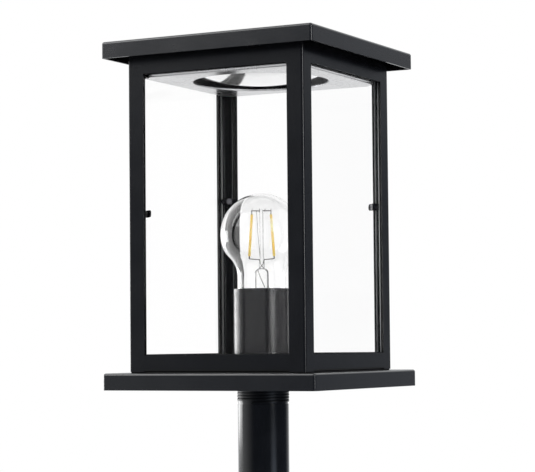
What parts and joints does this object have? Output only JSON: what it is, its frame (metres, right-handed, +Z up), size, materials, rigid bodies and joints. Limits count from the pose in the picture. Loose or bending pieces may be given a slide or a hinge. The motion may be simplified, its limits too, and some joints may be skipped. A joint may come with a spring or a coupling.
{
  "type": "post top lantern",
  "caption": "Square glazed post top lantern with a folded roof and base tray, a clear globe lamp in a sleeved screw holder and a tubular post neck.",
  "frame": {"origin": "centre of the post tube's open lower end", "axes": "+Z up along the post, +X right along the front pane, +Y towards the rear pane"},
  "size_m": [0.168, 0.168, 0.3602],
  "materials": {
    "powder_black": "fine satin powder coat",
    "post_black": "semi-gloss paint",
    "sleeve_black": "satin paint",
    "screw_black": "black zinc",
    "zinc_steel": "zinc plated",
    "seal_rubber": "matt",
    "ceiling_white": "semi-gloss",
    "ring_black": "satin",
    "reflector_bright": "polished",
    "plastic_black": "matt",
    "holder_ceramic": "matt",
    "contact_brass": "plain",
    "lamp_glass": "clear",
    "stem_glass": "clear",
    "pane_glass": "clear float",
    "cap_nickel": "nickel plated",
    "cap_insulator": "vitreous",
    "driver_board": "matt",
    "filament_yellow": "phosphor coat",
    "lead_wire": "plain"
  },
  "bodies": {
    "lantern": {"base_screws": "zinc_steel", "base_tray": "powder_black", "bottom_rail_front": "powder_black", "bottom_rail_left": "powder_black", "bottom_rail_rear": "powder_black", "bottom_rail_right": "powder_black", "cable_bushing": "plastic_black", "cage_post_front_left": "powder_black", "cage_post_front_right": "powder_black", "cage_post_rear_left": "powder_black", "cage_post_rear_right": "powder_black", "cage_seal": "seal_rubber", "centre_contact": "contact_brass", "clip_screws": "screw_black", "clip_studs": "powder_black", "corner_lugs": "powder_black", "glazing_tape_front": "seal_rubber", "glazing_tape_left": "seal_rubber", "glazing_tape_rear": "seal_rubber", "glazing_tape_right": "seal_rubber", "holder_base": "holder_ceramic", "holder_bracket": "zinc_steel", "holder_nipple": "zinc_steel", "holder_ring": "holder_ceramic", "holder_sleeve": "sleeve_black", "lock_washer": "zinc_steel", "lower_ring_nut": "zinc_steel", "nipple_nut": "zinc_steel", "pane_front": "pane_glass", "pane_left": "pane_glass", "pane_rear": "pane_glass", "pane_right": "pane_glass", "post_set_screws": "zinc_steel", "post_tube": "post_black", "screw_nuts": "zinc_steel", "terminal_screws": "contact_brass", "threaded_shell": "contact_brass", "top_rail_front": "powder_black", "top_rail_left": "powder_black", "top_rail_rear": "powder_black", "top_rail_right": "powder_black", "upper_ring_nut": "zinc_steel"},
    "roof": {"roof_cap": "powder_black", "roof_screws": "screw_black", "ceiling_tray": "ceiling_white", "ceiling_hangers": "ceiling_white", "reflector_ring": "ring_black", "reflector_dome": "reflector_bright"},
    "lamp_carrier": {"lamp_tip_contact": "cap_nickel", "lamp_insulator": "cap_insulator"},
    "lamp": {"lamp_glass": "lamp_glass", "lamp_cap": "cap_nickel", "lamp_driver": "driver_board", "lamp_stem": "stem_glass", "lamp_filaments": "filament_yellow", "lamp_lead_wires": "lead_wire"},
    "clip_rear_right": {"pane_clip_rear_right": "powder_black"},
    "clip_rear_left": {"pane_clip_rear_left": "powder_black"},
    "clip_front_left": {"pane_clip_front_left": "powder_black"},
    "clip_front_right": {"pane_clip_front_right": "powder_black"}
  },
  "joints": [
    {"name": "roof_lift", "type": "slide", "parent": "lantern", "child": "roof", "axis": [0, 0, 1], "range_m": [0, 0.08]},
    {"name": "lamp_rise", "type": "slide", "parent": "lantern", "child": "lamp_carrier", "axis": [0, 0, 1], "range_m": [0, 0.011]},
    {"name": "lamp_turn", "type": "hinge", "parent": "lamp_carrier", "child": "lamp", "pos_m": [0, 0, 0.1493], "axis": [0, 0, 1], "range_deg": [0, 1080]},
    {"name": "clip_rear_right_turn", "type": "hinge", "parent": "lantern", "child": "clip_rear_right", "pos_m": [0.05996, 0.05996, 0.2426], "axis": [0.7071, 0.7071, 0], "range_deg": [0, 90]},
    {"name": "clip_rear_left_turn", "type": "hinge", "parent": "lantern", "child": "clip_rear_left", "pos_m": [-0.05996, 0.05996, 0.2518], "axis": [-0.7071, 0.7071, 0], "range_deg": [0, 90]},
    {"name": "clip_front_left_turn", "type": "hinge", "parent": "lantern", "child": "clip_front_left", "pos_m": [-0.05996, -0.05996, 0.2356], "axis": [-0.7071, -0.7071, 0], "range_deg": [0, 90]},
    {"name": "clip_front_right_turn", "type": "hinge", "parent": "lantern", "child": "clip_front_right", "pos_m": [0.05996, -0.05996, 0.239], "axis": [0.7071, -0.7071, 0], "range_deg": [0, 90]}
  ],
  "couplings": [
    {"joint": "lamp_rise", "follows": "lamp_turn", "m_per_rad": 0.00057757}
  ]
}
